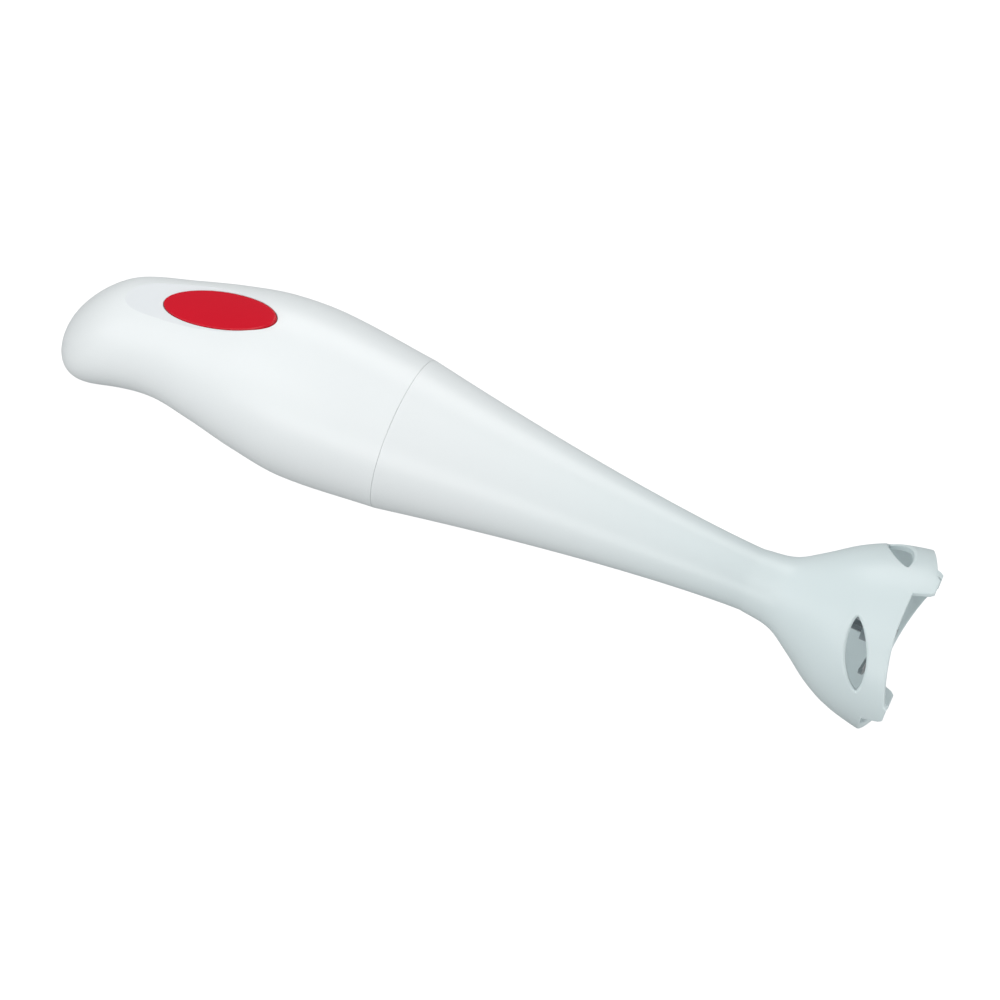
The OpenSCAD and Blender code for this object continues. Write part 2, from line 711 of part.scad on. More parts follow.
module bracket(plate, arm_from, arm_to, boss) {
    // plate across the motor, two side arms, and a boss for the bearing
    difference() {
        union() {
            translate([seam_x + plate, -core_half_w, axis_z - arm_h / 2])
                cube([plate_t, 2 * core_half_w, arm_h]);
            for (s = [-1, 1])
                translate([seam_x + arm_from, s * screw_y - yoke_t / 2, axis_z - arm_h / 2])
                    cube([arm_to - arm_from, yoke_t, arm_h]);
            rod(boss, boss + bearing_len, motor_shaft_r + bearing_t + bearing_wall);
        }
        rod(boss - 1, boss + bearing_len + 1, motor_shaft_r + bearing_t);
        for (s = [-1, 1]) translate([0, s * screw_y, 0]) rod(-handle_len, 0, screw_r + fit);
    }
}
module rear_bracket() {
    upright_top = brush_top - 3;
    color([0.2, 0.2, 0.22]) {
        difference() {
            union() {
                bracket(-rear_plate - plate_t, -rear_plate - 1, -core_back, -rear_end);
                // uprights that carry the brush holders
                for (s = [-1, 1])
                    translate([seam_x - rear_plate - plate_t, -brush_w / 2 - upright_side,
                               axis_z + (s < 0 ? -upright_top : arm_h / 2 - 1)])
                        cube([plate_t, brush_w + 2 * upright_side, upright_top - arm_h / 2 + 1]);
            }
            rod(-rear_end - 1, -rear_end + bearing_len + 1, motor_shaft_r + bearing_t);
        }
    }
}
module bearing(from) { ring(from, from + bearing_len, motor_shaft_r + bearing_t, motor_shaft_r + run_gap); }
module rear_bearing() { color([0.72, 0.58, 0.35]) bearing(-rear_end); }
module front_bracket() {
    color([0.2, 0.2, 0.22])
        bracket(-front_plate - plate_t, -core_front, -front_plate - 1, -front_plate - plate_t);
}
module front_bearing() { color([0.72, 0.58, 0.35]) bearing(-front_plate - plate_t); }

module motor_screws() {
    color([0.6, 0.6, 0.62]) for (s = [-1, 1])
        translate([0, s * screw_y, 0]) on_axis(-front_plate)
            pan_screw(screw_r, rear_plate + plate_t - front_plate, screw_head_r, screw_head_h);
}

module brush_holders() {
    out_w = brush_w + 2 * brush_wall + fit;
    color([0.8, 0.68, 0.35]) for (s = [-1, 1])
        translate([seam_x - brush_x, 0, axis_z]) rotate([s > 0 ? 0 : 180, 0, 0]) difference() {
            union() {
                translate([-out_w / 2, -out_w / 2, commutator_r + holder_gap])
                    cube([out_w, out_w, brush_top + holder_end - commutator_r - holder_gap]);
                // foot on the bracket's upright
                translate([-rear_plate + brush_x, -brush_w / 2, brush_top - 1 - holder_foot])
                    cube([rear_plate - brush_x - out_w / 2 + eps, brush_w, holder_foot]);
            }
            translate([-(brush_w + fit) / 2, -(brush_w + fit) / 2, 0])
                cube([brush_w + fit, brush_w + fit, brush_top]);
        }
}
module carbon_brushes() {
    color([0.15, 0.15, 0.15]) for (s = [-1, 1])
        translate([seam_x - brush_x, 0, axis_z]) rotate([s > 0 ? 0 : 180, 0, 0]) difference() {
            translate([-brush_w / 2, -brush_w / 2, commutator_r - 2])
                cube([brush_w, brush_w, brush_l + 2 + brush_gap]);
            rotate([0, 90, 0]) cylinder(h = 2 * brush_w, r = commutator_r + brush_gap, center = true);
        }
}
module brush_springs() {
    color([0.75, 0.76, 0.78]) for (s = [-1, 1])
        translate([seam_x - brush_x, 0, axis_z]) rotate([s > 0 ? 0 : 180, 0, 0])
            translate([0, 0, commutator_r + brush_gap + brush_l])
                coil_spring(brush_spring_l, brush_spring_r, brush_wire_r, 4, 10);
}

module motor_shaft() {
    color([0.7, 0.71, 0.74]) rod(-rear_end - shaft_past, motor_shaft_front, motor_shaft_r);
}

module slot_shapes(w, depth) {
    for (i = [0:slots - 1]) rotate(360 * (i + 0.5) / slots)
        translate([armature_r - depth, -w / 2]) square([depth + 1, w]);
}
module armature_core() {
    color([0.5, 0.51, 0.55]) on_axis(-core_back) linear_extrude(stack_len) difference() {
        circle(r = armature_r);
        circle(r = motor_shaft_r);
        slot_shapes(slot_w, slot_h);
    }
}
module armature_windings() {
    inner = motor_shaft_r + 1.2;
    outer = armature_r - 1.2;
    color([0.72, 0.4, 0.2]) {
        ring(-core_back - head_len, -core_back, outer, inner);
        ring(-core_front, -core_front + head_len, outer, inner);
        on_axis(-core_back - eps) linear_extrude(stack_len + 2 * eps) intersection() {
            difference() {
                circle(r = outer);
                circle(r = armature_r - slot_h + fit);
            }
            slot_shapes(slot_w - fit, slot_h);
        }
    }
}
module commutator() {
    color([0.78, 0.5, 0.3]) on_axis(-commutator_front - commutator_len) difference() {
        cylinder(h = commutator_len, r = commutator_r);
        translate([0, 0, -1]) cylinder(h = commutator_len + 2, r = motor_shaft_r);
        for (i = [0:slots - 1]) rotate(360 * i / slots)
            translate([commutator_r - commutator_slot_h, -commutator_slot / 2, -1])
                cube([2 * commutator_slot_h, commutator_slot, commutator_len + 2]);
    }
}

module cooling_fan() {
    hub = motor_shaft_r + fan_hub;
    color([0.9, 0.9, 0.88]) on_axis(fan_back) difference() {
        union() {
            cylinder(h = fan_len, r = hub);
            translate([0, 0, fan_len - fan_plate]) cylinder(h = fan_plate, r = fan_r);
            for (i = [0:fan_blades - 1]) rotate(360 * i / fan_blades)
                translate([hub - 1, -fan_vane / 2, 0]) cube([fan_r - hub, fan_vane, fan_len - 1]);
        }
        translate([0, 0, -1]) cylinder(h = fan_len + 2, r = motor_shaft_r);
    }
}

// ---------- stick ----------

module shaft_coupling() {
    color([0.16, 0.16, 0.18]) on_axis(coupling_start) difference() {
        cylinder(h = coupling_len, r = coupling_r);
        translate([0, 0, -1]) cylinder(h = drive_start - coupling_start + 1, r = motor_shaft_r);
        translate([0, 0, drive_start - coupling_start - 1]) cylinder(h = coupling_len, r = drive_shaft_r);
        for (i = [0:flutes - 1]) rotate(360 * i / flutes) translate([coupling_r, 0, -1])
            cylinder(h = coupling_len + 2, r = flute_r, $fn = 24);
    }
}
module drive_shaft() { color([0.55, 0.57, 0.6]) rod(drive_start, blade_x + nut_len, drive_shaft_r); }
module bearing_tube() { color([0.7, 0.71, 0.74]) ring(tube_start, tube_end, tube_r, tube_r - tube_wall); }
module tube_spider() {
    rim_r = shaft_r(spider_at + spider_len) - wall - fit;
    color([0.85, 0.86, 0.86]) on_axis(spider_at) linear_extrude(spider_len) difference() {
        union() {
            difference() {
                circle(r = rim_r);
                circle(r = rim_r - spider_t);
            }
            circle(r = tube_r + spider_t);
            for (i = [0:spider_arms - 1]) rotate(360 * (i + 0.5) / spider_arms)
                translate([tube_r + spider_t / 2, -spider_t / 2])
                    square([rim_r - tube_r - spider_t, spider_t]);
        }
        circle(r = tube_r);
    }
}
module bush(from) { ring(from, from + bush_len, tube_r - tube_wall, drive_shaft_r + run_gap); }
module upper_bush() { color([0.72, 0.58, 0.35]) bush(tube_start + 2); }
module lower_bush() { color([0.72, 0.58, 0.35]) bush(tube_end - bush_len - 1); }
module shaft_seal() {
    color([0.2, 0.2, 0.2]) ring(boss_end - seal_len - 1, boss_end - 1, seal_outer, drive_shaft_r + run_gap);
}

// ---------- blade ----------

module blade_hub() {
    color([0.6, 0.61, 0.63])
        ring(blade_x - blade_t / 2 - hub_len, blade_x - blade_t / 2, hub_r, drive_shaft_r);
}

// Bent strip cut to the outline of two wings, one lifted toward the stick and one toward the foot
function wing_outline(tip) = [for (p = wing_tip) [tip - wing_tip[2][0] + p[0], p[1] - blade_half_w]];
module blade() {
    tip = blade_d / 2;
    up = (tip - blade_bend) * tan(blade_up);
    down = (tip - blade_bend) * tan(blade_down);
    color([0.7, 0.71, 0.74]) on_axis(blade_x) rotate(blade_turn) difference() {
        intersection() {
            translate([0, blade_d, 0]) rotate([90, 0, 0]) linear_extrude(2 * blade_d) polygon([
                [-tip - 1, -up - blade_t / 2], [-blade_bend, -blade_t / 2], [blade_bend, -blade_t / 2],
                [tip + 1, down - blade_t / 2], [tip + 1, down + blade_t / 2], [blade_bend, blade_t / 2],
                [-blade_bend, blade_t / 2], [-tip - 1, -up + blade_t / 2]]);
            translate([0, 0, -tip]) linear_extrude(blade_d) polygon(concat(
                wing_outline(tip), [for (p = wing_outline(tip)) -p]));
        }
        cylinder(h = 4 * blade_t, r = drive_shaft_r, center = true);
    }
}

module blade_nut() {
    color([0.6, 0.61, 0.63]) on_axis(blade_x + blade_t / 2) difference() {
        cylinder(h = nut_len - blade_t / 2, r = nut_r, $fn = 6);
        translate([0, 0, -1]) cylinder(h = nut_len + 2, r = drive_shaft_r);
    }
}

handle_housing();
shaft_housing();
seam_seal();
power_button();
button_spring();
button_cradle();
cradle_screws();
switch_body();
switch_plunger();
switch_terminals();
cord_gland();
cord_clamp();
cord_clamp_screws();
suppression_capacitor();
lead_live();
lead_neutral();
lead_switched();
motor_mount_rear();
motor_mount_front();
stator_core();
field_coils();
rear_bracket();
rear_bearing();
front_bracket();
front_bearing();
motor_screws();
brush_holders();
carbon_brushes();
brush_springs();
motor_shaft();
armature_core();
armature_windings();
commutator();
cooling_fan();
shaft_coupling();
drive_shaft();
bearing_tube();
tube_spider();
upper_bush();
lower_bush();
shaft_seal();
blade_hub();
blade();
blade_nut();
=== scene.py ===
import bmesh
import bpy
import json
import math
from mathutils import Matrix, Vector


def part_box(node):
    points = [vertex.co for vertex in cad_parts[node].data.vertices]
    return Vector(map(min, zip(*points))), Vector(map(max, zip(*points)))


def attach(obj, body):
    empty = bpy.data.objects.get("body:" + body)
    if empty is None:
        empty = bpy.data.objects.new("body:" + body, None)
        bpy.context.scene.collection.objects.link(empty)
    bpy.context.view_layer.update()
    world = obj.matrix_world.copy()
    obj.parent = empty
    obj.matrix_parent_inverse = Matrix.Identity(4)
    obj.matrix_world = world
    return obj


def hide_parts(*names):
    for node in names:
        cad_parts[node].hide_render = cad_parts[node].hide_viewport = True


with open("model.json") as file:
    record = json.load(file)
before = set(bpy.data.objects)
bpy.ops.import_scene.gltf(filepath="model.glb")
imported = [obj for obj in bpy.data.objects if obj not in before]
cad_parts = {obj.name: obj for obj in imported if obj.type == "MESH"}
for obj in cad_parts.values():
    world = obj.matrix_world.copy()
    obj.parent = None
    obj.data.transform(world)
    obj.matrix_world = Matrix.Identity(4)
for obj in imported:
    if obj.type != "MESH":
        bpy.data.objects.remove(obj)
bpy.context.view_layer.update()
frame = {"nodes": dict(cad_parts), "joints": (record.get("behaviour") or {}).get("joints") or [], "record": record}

MM = 0.001

# ---------- places and sizes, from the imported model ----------

handle_lo, handle_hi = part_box("handle_housing")
shaft_lo, shaft_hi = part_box("shaft_housing")
seam_x = handle_hi.x
handle_len = seam_x - handle_lo.x
foot_x = shaft_hi.x
shaft_len = foot_x - seam_x
bell_r = (shaft_hi.y - shaft_lo.y) / 2
axis_z = (shaft_hi.z + shaft_lo.z) / 2
seal_lo, seal_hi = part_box("shaft_seal")
seal_r = (seal_hi.y - seal_lo.y) / 2
press = next(j for j in frame["joints"] if j["name"] == "button_press")
slope = math.asin(-press["axis"][0])
mount = frame["record"]["mounts"][0]

# The model's own sizes, as in its source
SEAM_R = 30.4 * MM
GRIP_R = SEAM_R + 3.4 * MM
TAIL_R = 21.9 * MM
TAIL_DROP = 24.2 * MM
CAP_LEN = 26.4 * MM
CAP_POWER = 2.33
WALL = 2.4 * MM
NECK_R = 12.2 * MM
BELL_LEN = 64 * MM
TAPER_POWER = 1.42
NECK = shaft_len - BELL_LEN
# along the handle: place, share of the way from the tail's radius to the grip's, share of the tail's drop
HANDLE_CURVE = ((0.264, 1, -0.029), (0.4145, 0.848, -0.087), (0.546, 0.525, -0.073),
                (0.6785, 0.196, 0.029), (0.819, 0.086, 0.334), (0.958, 0, 0.8645), (1, 0, 1))
# along the bell: place, and share of the way from the neck's radius to the mouth's
BELL_CURVE = ((0, 0), (0.19, 0.085), (0.34, 0.33), (0.5, 0.63), (0.66, 0.84), (0.88, 0.985), (1, 1))
BUTTON_MID = Vector((seam_x - 79.8 * MM, 0, axis_z + 27.7 * MM))
BUTTON_L, BUTTON_W = 49 * MM, 18.8 * MM
BUTTON_GAP = 0.35 * MM
BUTTON_PROUD = 0.8 * MM
FLANGE = 1.6 * MM
CAP_WALL = 1.8 * MM
STEM_U, STEM_R = -12.97 * MM, 2.4 * MM
CEILING = -WALL            # the shell's inside under the button's flat
WELL = -8 * MM             # foot of every cut round the button
U = Vector((math.cos(slope), 0, math.sin(slope)))
W = Vector((-math.sin(slope), 0, math.cos(slope)))
V = Vector((0, 1, 0))


def at_button(u, v, w):
    """A point along, across and above the button's flat."""
    return BUTTON_MID + U * u + V * v + W * w


# ---------- curves ----------

def spline(p, t, k=1):
    """Smooth curve through the points p: column 0 is the place, column k the value."""
    i = 0
    while i < len(p) - 2 and t > p[i + 1][0]:
        i += 1

    def rate(j):
        a, b = max(j - 1, 0), min(j + 1, len(p) - 1)
        return (p[b][k] - p[a][k]) / (p[b][0] - p[a][0])

    h = p[i + 1][0] - p[i][0]
    s = (t - p[i][0]) / h
    return (p[i][k] * (2 * s**3 - 3 * s**2 + 1) + rate(i) * h * (s**3 - 2 * s**2 + s)
            + p[i + 1][k] * (3 * s**2 - 2 * s**3) + rate(i + 1) * h * (s**3 - s**2))


HANDLE = [(0, SEAM_R, 0)] + [(c[0] * handle_len, TAIL_R + c[1] * (GRIP_R - TAIL_R), -c[2] * TAIL_DROP)
                             for c in HANDLE_CURVE]
BELL = [(NECK + c[0] * BELL_LEN, NECK_R + c[1] * (bell_r - NECK_R)) for c in BELL_CURVE]


def shaft_r(d):
    """The stick's outer radius at d in front of the seam."""
    if d < NECK:
        return NECK_R + (SEAM_R - NECK_R) * max(0, 1 - d / NECK) ** TAPER_POWER
    return spline(BELL, d)


# ---------- mesh helpers ----------

def piece(name, verts, faces, m, angle):
    me = bpy.data.meshes.new(name)
    me.from_pydata([tuple(v) for v in verts], [], faces)
    me.validate()
    ob = bpy.data.objects.new(name, me)
    bpy.context.scene.collection.objects.link(ob)
    coat(ob, m, angle)
    return ob


def coat(ob, m, angle):
    ob.data.materials.clear()
    ob.data.materials.append(m)
    smooth(ob, angle)


def smooth(ob, angle):
    """Smooth shading, with edges sharper than angle degrees left crisp."""
    me = ob.data
    me.shade_smooth()
    me.set_sharp_from_angle(angle=math.radians(angle))
    me.update()


def face_out(ob):
    bm = bmesh.new()
    bm.from_mesh(ob.data)
    bmesh.ops.recalc_face_normals(bm, faces=bm.faces)
    bm.to_mesh(ob.data)
    bm.free()


def grid_faces(rings, sides, closed=True, first=0):
    faces = []
    for j in range(rings - 1):
        for i in range(sides if closed else sides - 1):
            a, b = first + j * sides + i, first + j * sides + (i + 1) % sides
            faces.append((a, b, b + sides, a + sides))
    return faces


def solid(name, rings):
    """Closed solid through rings of points, with a cap on each end."""
    n = len(rings[0])
    last = (len(rings) - 1) * n
    faces = grid_faces(len(rings), n)
    faces += [tuple(range(n - 1, -1, -1)), tuple(range(last, last + n))]
    me = bpy.data.meshes.new(name)
    me.from_pydata([tuple(p) for r in rings for p in r], [], faces)
    ob = bpy.data.objects.new(name, me)
    bpy.context.scene.collection.objects.link(ob)
    face_out(ob)
    return ob


def cut(ob, cutters, operation="DIFFERENCE"):
    """Applies exact booleans and removes the cutters."""
    for c in cutters:
        m = ob.modifiers.new("cut", "BOOLEAN")
        m.object, m.operation, m.solver = c, operation, "EXACT"
        bpy.context.view_layer.update()
        shaped = ob.evaluated_get(bpy.context.evaluated_depsgraph_get())
        done = bpy.data.meshes.new_from_object(shaped)
        ob.modifiers.clear()
        ob.data = done
        bpy.data.objects.remove(c)


def ellipse(l, w, height, n=144, mid=0.0):
    """A ring l by w about the button's axis or mid along it, at a height above the flat."""
    turns = [2 * math.pi * i / n for i in range(n)]
    return [at_button(mid + l / 2 * math.cos(t), w / 2 * math.sin(t), height) for t in turns]


def circle_x(x, r, z, n=96):
    return [Vector((x, r * math.cos(2 * math.pi * i / n), z + r * math.sin(2 * math.pi * i / n)))
            for i in range(n)]


def lathe(name, profile, z, body, m, n=96):
    """A ring turned about an axis along X, through (x, r) points that close on themselves."""
    rings = [circle_x(x, r, z, n) for x, r in profile]
    faces = grid_faces(len(rings), n)
    last = (len(rings) - 1) * n
    faces += [(last + i, last + (i + 1) % n, (i + 1) % n, i) for i in range(n)]
    ob = piece(name, [p for r in rings for p in r], faces, m, 35)
    face_out(ob)
    smooth(ob, 35)
    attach(ob, body)
    return ob


def slab(name, lo, hi, place=lambda x, y, z: Vector((x, y, z))):
    """A block from corner lo to corner hi, in the frame that place() turns into the scene's."""
    corners = ((lo[0], lo[1]), (hi[0], lo[1]), (hi[0], hi[1]), (lo[0], hi[1]))
    return solid(name, [[place(x, y, z) for x, y in corners] for z in (lo[2], hi[2])])


# ---------- materials ----------

def shader(name, base, rough, metal=0.0, **sockets):
    m = bpy.data.materials.new(name)
    m.use_nodes = True
    nt = m.node_tree
    b = nt.nodes["Principled BSDF"]
    b.inputs["Base Color"].default_value = (*base, 1)
    b.inputs["Roughness"].default_value = rough
    b.inputs["Metallic"].default_value = metal
    for k, v in sockets.items():
        b.inputs[k.replace("_", " ")].default_value = v
    return m, nt, b


def node(nt, kind, **values):
    n = nt.nodes.new(kind)
    for k, v in values.items():
        if k in n.inputs:
            n.inputs[k].default_value = v
        else:
            setattr(n, k, v)
    return n


def plastic(name, base, rough, tone=0.02, scale=900, spread=0.06, bump=0.02, **sockets):
    """Moulded plastic: a fine moulded grain in the bump and gloss, and a faint slow drift of tone."""
    m, nt, b = shader(name, base, rough, **sockets)
    co = node(nt, "ShaderNodeTexCoord")
    slow = node(nt, "ShaderNodeTexNoise", Scale=14.0, Detail=3.0)
    fine = node(nt, "ShaderNodeTexNoise", Scale=float(scale), Detail=4.0, Roughness=0.6)
    ramp = node(nt, "ShaderNodeValToRGB")
    ramp.color_ramp.elements[0].position, ramp.color_ramp.elements[1].position = 0.35, 0.7
    ramp.color_ramp.elements[0].color = (*[c * (1 - tone) for c in base], 1)
    ramp.color_ramp.elements[1].color = (*[min(1, c * (1 + tone)) for c in base], 1)
    gloss = node(nt, "ShaderNodeMapRange")
    gloss.inputs["To Min"].default_value = max(0.02, rough - spread)
    gloss.inputs["To Max"].default_value = rough + spread
    bp = node(nt, "ShaderNodeBump", Strength=bump * 5, Distance=0.00006)
    for t in (slow, fine):
        nt.links.new(co.outputs["Object"], t.inputs["Vector"])
    nt.links.new(slow.outputs["Fac"], ramp.inputs["Fac"])
    nt.links.new(ramp.outputs["Color"], b.inputs["Base Color"])
    nt.links.new(fine.outputs["Fac"], gloss.inputs["Value"])
    nt.links.new(gloss.outputs["Result"], b.inputs["Roughness"])
    nt.links.new(fine.outputs["Fac"], bp.inputs["Height"])
    nt.links.new(bp.outputs["Normal"], b.inputs["Normal"])
    return m


def drift(m, base, x0, x1):
    """Lets a plastic's base colour drift to another along X, from x0 to x1; used to paint shade along the stick.
    """
    nt = m.node_tree
    ramp = nt.nodes["Color Ramp"]
    co = nt.nodes["Texture Coordinate"]
    sep = node(nt, "ShaderNodeSeparateXYZ")
    rng = node(nt, "ShaderNodeMapRange", interpolation_type="SMOOTHSTEP")
    rng.inputs["From Min"].default_value, rng.inputs["From Max"].default_value = x0, x1
    mix = node(nt, "ShaderNodeMix", data_type="RGBA")
    mix.inputs["B"].default_value = (*base, 1)
    nt.links.new(co.outputs["Object"], sep.inputs["Vector"])
    nt.links.new(sep.outputs["X"], rng.inputs["Value"])
    nt.links.new(rng.outputs["Result"], mix.inputs["Factor"])
    nt.links.new(ramp.outputs["Color"], mix.inputs["A"])
    nt.links.new(mix.outputs["Result"], nt.nodes["Principled BSDF"].inputs["Base Color"])


def metal(name, base, rough, along=(1, 40, 40), scale=60, spread=0.08, tone=0.12, bump=0.08):
    """Machined or drawn metal: fine streaks across the long scale axis, in colour, gloss and bump."""
    m, nt, b = shader(name, base, rough, 1.0)
    co = node(nt, "ShaderNodeTexCoord")
    mp = node(nt, "ShaderNodeMapping")
    mp.inputs["Scale"].default_value = along
    streak = node(nt, "ShaderNodeTexNoise", Scale=float(scale), Detail=6.0, Roughness=0.65)
    ramp = node(nt, "ShaderNodeValToRGB")
    ramp.color_ramp.elements[0].color = (*[c * (1 - tone) for c in base], 1)
    ramp.color_ramp.elements[1].color = (*[min(1, c * (1 + tone)) for c in base], 1)
    gloss = node(nt, "ShaderNodeMapRange")
    gloss.inputs["To Min"].default_value = max(0.04, rough - spread)
    gloss.inputs["To Max"].default_value = rough + spread
    bp = node(nt, "ShaderNodeBump", Strength=bump, Distance=0.00005)
    nt.links.new(co.outputs["Object"], mp.inputs["Vector"])
    nt.links.new(mp.outputs["Vector"], streak.inputs["Vector"])
    nt.links.new(streak.outputs["Fac"], ramp.inputs["Fac"])
    nt.links.new(ramp.outputs["Color"], b.inputs["Base Color"])
    nt.links.new(streak.outputs["Fac"], gloss.inputs["Value"])
    nt.links.new(gloss.outputs["Result"], b.inputs["Roughness"])
    nt.links.new(streak.outputs["Fac"], bp.inputs["Height"])
    nt.links.new(bp.outputs["Normal"], b.inputs["Normal"])
    return m


def banded(name, base, dark, rough, pitch, axis=0, depth=0.3):
    """Fine bands square to one axis: wound wire or stacked sheets."""
    m, nt, b = shader(name, base, rough, 1.0)
    co = node(nt, "ShaderNodeTexCoord")
    sep = node(nt, "ShaderNodeSeparateXYZ")
    mul = node(nt, "ShaderNodeMath", operation="MULTIPLY")
    mul.inputs[1].default_value = 2 * math.pi / pitch
    wave = node(nt, "ShaderNodeMath", operation="SINE")
    rng = node(nt, "ShaderNodeMapRange")
    rng.inputs["From Min"].default_value, rng.inputs["From Max"].default_value = -1.0, 1.0
    ramp = node(nt, "ShaderNodeValToRGB")
    ramp.color_ramp.elements[0].color, ramp.color_ramp.elements[1].color = (*dark, 1), (*base, 1)
    ramp.color_ramp.elements[1].position = 0.55
    bp = node(nt, "ShaderNodeBump", Strength=depth, Distance=pitch * 0.2)
    gloss = node(nt, "ShaderNodeMapRange")
    gloss.inputs["To Min"].default_value, gloss.inputs["To Max"].default_value = rough + 0.15, rough
    nt.links.new(co.outputs["Object"], sep.inputs["Vector"])
    nt.links.new(sep.outputs[axis], mul.inputs[0])
    nt.links.new(mul.outputs[0], wave.inputs[0])
    nt.links.new(wave.outputs[0], rng.inputs["Value"])
    nt.links.new(rng.outputs["Result"], ramp.inputs["Fac"])
    nt.links.new(ramp.outputs["Color"], b.inputs["Base Color"])
    nt.links.new(rng.outputs["Result"], bp.inputs["Height"])
    nt.links.new(rng.outputs["Result"], gloss.inputs["Value"])
    nt.links.new(gloss.outputs["Result"], b.inputs["Roughness"])
    nt.links.new(bp.outputs["Normal"], b.inputs["Normal"])
    return m


WHITE = (0.815, 0.848, 0.86)
STICK_PAINTED_SHADE = (0.67, 0.76, 0.775)      # painted shade: the same white where the bell is, painted cooler and darker where the light falls off toward the bell
STICK_FADE = 0.2
white = plastic("white_moulding", WHITE, 0.34, tone=0.006, bump=0.015)
# the button's flat: painted shade, its base colour painted darker and bluer than the handle's white; it is also
# rougher, with a coarser grain
flat_white_painted_shade = plastic("white_flat_painted_shade", (0.77, 0.80, 0.825), 0.42, tone=0.006, bump=0.03)
# the stick's white is painted darker and cooler toward the bell: painted shade
stick_white_painted_shade = plastic("stick_moulding_painted_shade", WHITE, 0.34, tone=0.006, bump=0.015)
drift(stick_white_painted_shade, STICK_PAINTED_SHADE, seam_x, seam_x + STICK_FADE)
red = plastic("red_button", (0.6, 0.003, 0.018), 0.2, tone=0.03, spread=0.03, bump=0.004,
              Specular_IOR_Level=0.3)
natural = plastic("natural_plastic", (0.66, 0.67, 0.66), 0.5, tone=0.03)
dark = plastic("dark_plastic", (0.025, 0.025, 0.028), 0.5, tone=0.1)
rubber = plastic("rubber", (0.03, 0.03, 0.032), 0.72, tone=0.12, scale=500, bump=0.06)
yellow = plastic("capacitor_case", (0.6, 0.36, 0.03), 0.35, tone=0.04)
plunger_red = plastic("plunger_plastic", (0.4, 0.03, 0.02), 0.45, tone=0.04)
fan_white = plastic("fan_plastic", (0.62, 0.61, 0.57), 0.48, tone=0.03)
lead = {c: plastic("lead_" + c, rgb, 0.42, tone=0.05) for c, rgb in
        (("brown", (0.12, 0.04, 0.015)), ("blue", (0.02, 0.07, 0.28)), ("black", (0.015, 0.015, 0.016)))}
carbon = plastic("carbon", (0.02, 0.02, 0.021), 0.62, tone=0.2, scale=1600, bump=0.08)
spring = metal("spring_wire", (0.55, 0.56, 0.58), 0.3, along=(30, 30, 30), scale=20)
plated = metal("plated_steel", (0.5, 0.51, 0.53), 0.34, along=(20, 20, 20), scale=40)
ground = metal("ground_shaft", (0.32, 0.33, 0.345), 0.24, along=(60, 2, 2), scale=30)
blade_metal = metal("blade_steel", (0.5, 0.51, 0.52), 0.3, along=(40, 3, 3), scale=30)
tube_metal = metal("drawn_tube", (0.62, 0.63, 0.64), 0.3, along=(1, 40, 40))
brass = metal("brass", (0.7, 0.52, 0.2), 0.3, along=(8, 8, 8))
bronze = metal("sintered_bronze", (0.44, 0.28, 0.12), 0.45, along=(60, 60, 60), tone=0.25, bump=0.2)
SHEET_PITCH, WIRE_PITCH = 0.5 * MM, 0.6 * MM
WIRE, WIRE_DARK = (0.55, 0.19, 0.06), (0.2, 0.05, 0.015)
sheets = banded("laminations", (0.3, 0.31, 0.33), (0.1, 0.1, 0.105), 0.42, SHEET_PITCH)
copper = banded("winding_wire", WIRE, WIRE_DARK, 0.3, WIRE_PITCH, axis=1)
head_copper = banded("armature_wire", WIRE, WIRE_DARK, 0.3, WIRE_PITCH)
bars = metal("commutator_bars", (0.6, 0.26, 0.12), 0.3, along=(60, 1, 1), scale=40)

CARRIED = {
    "seam_seal": rubber, "button_spring": spring, "button_cradle": natural, "cradle_screws": plated,
    "switch_body": dark, "switch_plunger": plunger_red, "switch_terminals": brass,
    "cord_clamp": natural, "cord_clamp_screws": plated, "suppression_capacitor": yellow,
    "lead_live": lead["brown"], "lead_neutral": lead["blue"], "lead_switched": lead["black"],
    "motor_mount_rear": rubber, "motor_mount_front": rubber, "stator_core": sheets, "field_coils": copper,
    "rear_bracket": dark, "front_bracket": dark, "rear_bearing": bronze, "front_bearing": bronze,
    "motor_screws": plated, "brush_holders": brass, "carbon_brushes": carbon, "brush_springs": spring,
    "motor_shaft": ground, "armature_core": sheets, "armature_windings": head_copper, "commutator": bars,
    "cooling_fan": fan_white, "shaft_coupling": dark, "drive_shaft": ground, "bearing_tube": tube_metal,
    "tube_spider": natural, "upper_bush": bronze, "lower_bush": bronze, "shaft_seal": rubber,
}
for name, m in CARRIED.items():
    ob = frame["nodes"][name]
    ob.data.materials.clear()
    ob.data.materials.append(m)

# ---------- handle ----------

LAST_TURN = math.radians(88)      # the tail's cap closes just short of its quarter turn
LAST_SHARE = math.sin(LAST_TURN)
SEAM_SOFT = 0.09 * MM             # radius of the rounded edge on each side of the seam
HANDLE_ROUND = ((0, 1), (0.07, 0.5), (0.3, 0.13))      # shares of it: in from the end, and off the radius
FLANGE_ROOM = 4 * MM
SOCKET_DEEP = 13 * MM
GLAND_SEAT_R = 6.25 * MM
PAST = 1 * MM                     # how far a cutter runs past what it cuts
ON_FLAT = 0.02 * MM


def cap_share(d, inset):
    """Share of the radius that is left at d, as the cap at the tail's end closes."""
    s = min(LAST_SHARE, max(0, d - handle_len + CAP_LEN) / (CAP_LEN - inset))
    return (1 - s**CAP_POWER) ** (1 / CAP_POWER)


def handle_rings(inset, sides, body_n, cap_n, start=0.0):
    """Rings from start behind the seam to the tail's end, inset from the handle's outside."""
    body_len = handle_len - CAP_LEN
    places = [start + (body_len - start) * i / body_n for i in range(body_n)]
    places += [body_len + (CAP_LEN - inset) * math.sin(LAST_TURN * i / cap_n) / LAST_SHARE
               for i in range(cap_n + 1)]
    turns = [2 * math.pi * (i + 0.5) / sides for i in range(sides)]
    rings = []
    for d in places:
        r = (spline(HANDLE, d, 1) - inset) * cap_share(d, inset)
        z = axis_z + spline(HANDLE, d, 2)
        rings.append([Vector((seam_x - d, r * math.cos(t), z + r * math.sin(t))) for t in turns])
    return rings


